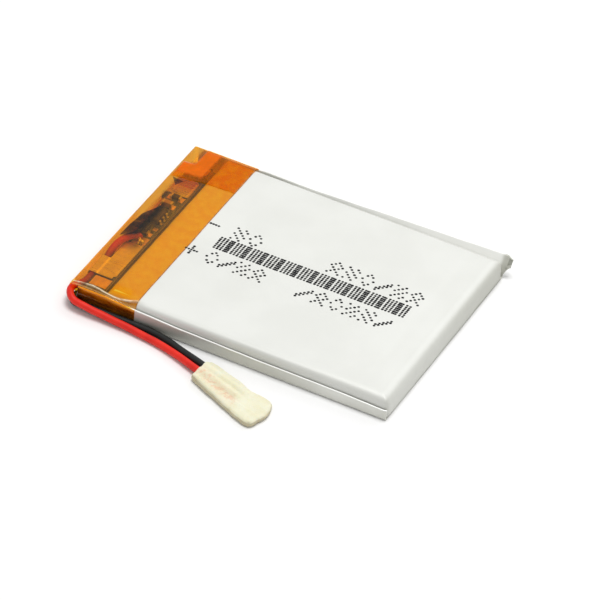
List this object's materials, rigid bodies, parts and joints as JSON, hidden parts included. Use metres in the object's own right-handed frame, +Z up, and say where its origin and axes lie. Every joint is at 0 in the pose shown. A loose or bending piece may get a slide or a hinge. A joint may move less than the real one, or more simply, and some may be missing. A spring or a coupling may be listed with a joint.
{
  "type": "pouch battery cell",
  "caption": "Flat rectangular pouch battery cell with a taped protection board at one end and a red and a black lead folded back along its side.",
  "frame": {"origin": "centre of the pouch's flat underside, midway between the head edge and the bottom end and midway between the folded side seals", "axes": "+X from the taped head to the folded bottom end, -Y the side where the leads lie, +Z up through the cup face"},
  "size_m": [0.0507, 0.0483, 0.0037],
  "materials": {
    "laminate_film": "bright silver-white aluminium laminate with a satin nylon face",
    "cathode_coating": "matt dark grey oxide coating on aluminium foil",
    "anode_coating": "matt graphite coating on copper foil",
    "separator_membrane": "matt white microporous film",
    "termination_tape": "thin green polyester tape",
    "aluminium_tab": "rolled aluminium strip",
    "nickel_tab": "rolled nickel strip",
    "tab_sealant": "milky polypropylene sealing film",
    "insulating_paper": "grey-green pressed insulating paper",
    "foam": "white double-sided foam strip",
    "board_laminate": "green solder mask over glass-fibre laminate",
    "plated_pads": "gold-plated copper",
    "moulded_package": "matt black moulding compound",
    "resistor_body": "black glazed chip body with plated ends",
    "capacitor_body": "tan fired chip body with plated ends",
    "solder": "bright solder",
    "red_insulation": "glossy red vinyl",
    "black_insulation": "glossy black vinyl",
    "tinned_strands": "tinned copper strands",
    "masking_tape": "matt cream paper tape",
    "polyimide_tape": "clear amber polyimide"
  },
  "bodies": {
    "cell": {"pouch_cup": "laminate_film", "pouch_cover": "laminate_film", "cathode_foil": "cathode_coating", "anode_foil": "anode_coating", "separator_inner": "separator_membrane", "separator_outer": "separator_membrane", "termination_tape": "termination_tape", "positive_tab": "aluminium_tab", "negative_tab": "nickel_tab", "positive_tab_sealant": "tab_sealant", "negative_tab_sealant": "tab_sealant", "insulating_paper": "insulating_paper", "foam_pad": "foam", "circuit_board": "board_laminate", "board_pads": "plated_pads", "negative_nickel_pad": "nickel_tab", "positive_nickel_pad": "nickel_tab", "protection_ic": "moulded_package", "ic_pins": "plated_pads", "resistor_r1": "resistor_body", "resistor_r2": "resistor_body", "capacitor_c1": "capacitor_body", "solder_joints": "solder", "red_lead_tail": "red_insulation", "black_lead_tail": "black_insulation", "red_core_tail": "tinned_strands", "black_core_tail": "tinned_strands", "head_tape": "polyimide_tape", "corner_tape": "polyimide_tape"},
    "lead_bend": {"red_lead_bend": "red_insulation", "red_core_bend": "tinned_strands", "black_lead_bend": "black_insulation", "black_core_bend": "tinned_strands"},
    "lead_run": {"red_lead_run": "red_insulation", "red_core_run": "tinned_strands", "black_lead_run": "black_insulation", "black_core_run": "tinned_strands"},
    "end_wrap": {"lead_end_wrap": "masking_tape"}
  },
  "joints": [
    {"name": "lead_swing", "type": "hinge", "parent": "cell", "child": "lead_bend", "pos_m": [-0.0233, -0.0205, 0.00075], "axis": [0, 0, -1], "range_deg": [0, 100]},
    {"name": "lead_lift", "type": "hinge", "parent": "lead_bend", "child": "lead_run", "pos_m": [-0.0189, -0.01955, 0.00075], "axis": [0, -1, 0], "range_deg": [0, 60]},
    {"name": "wrap_slide", "type": "slide", "parent": "lead_run", "child": "end_wrap", "axis": [0.9521, -0.3057, 0], "range_m": [0, 0.012]}
  ]
}
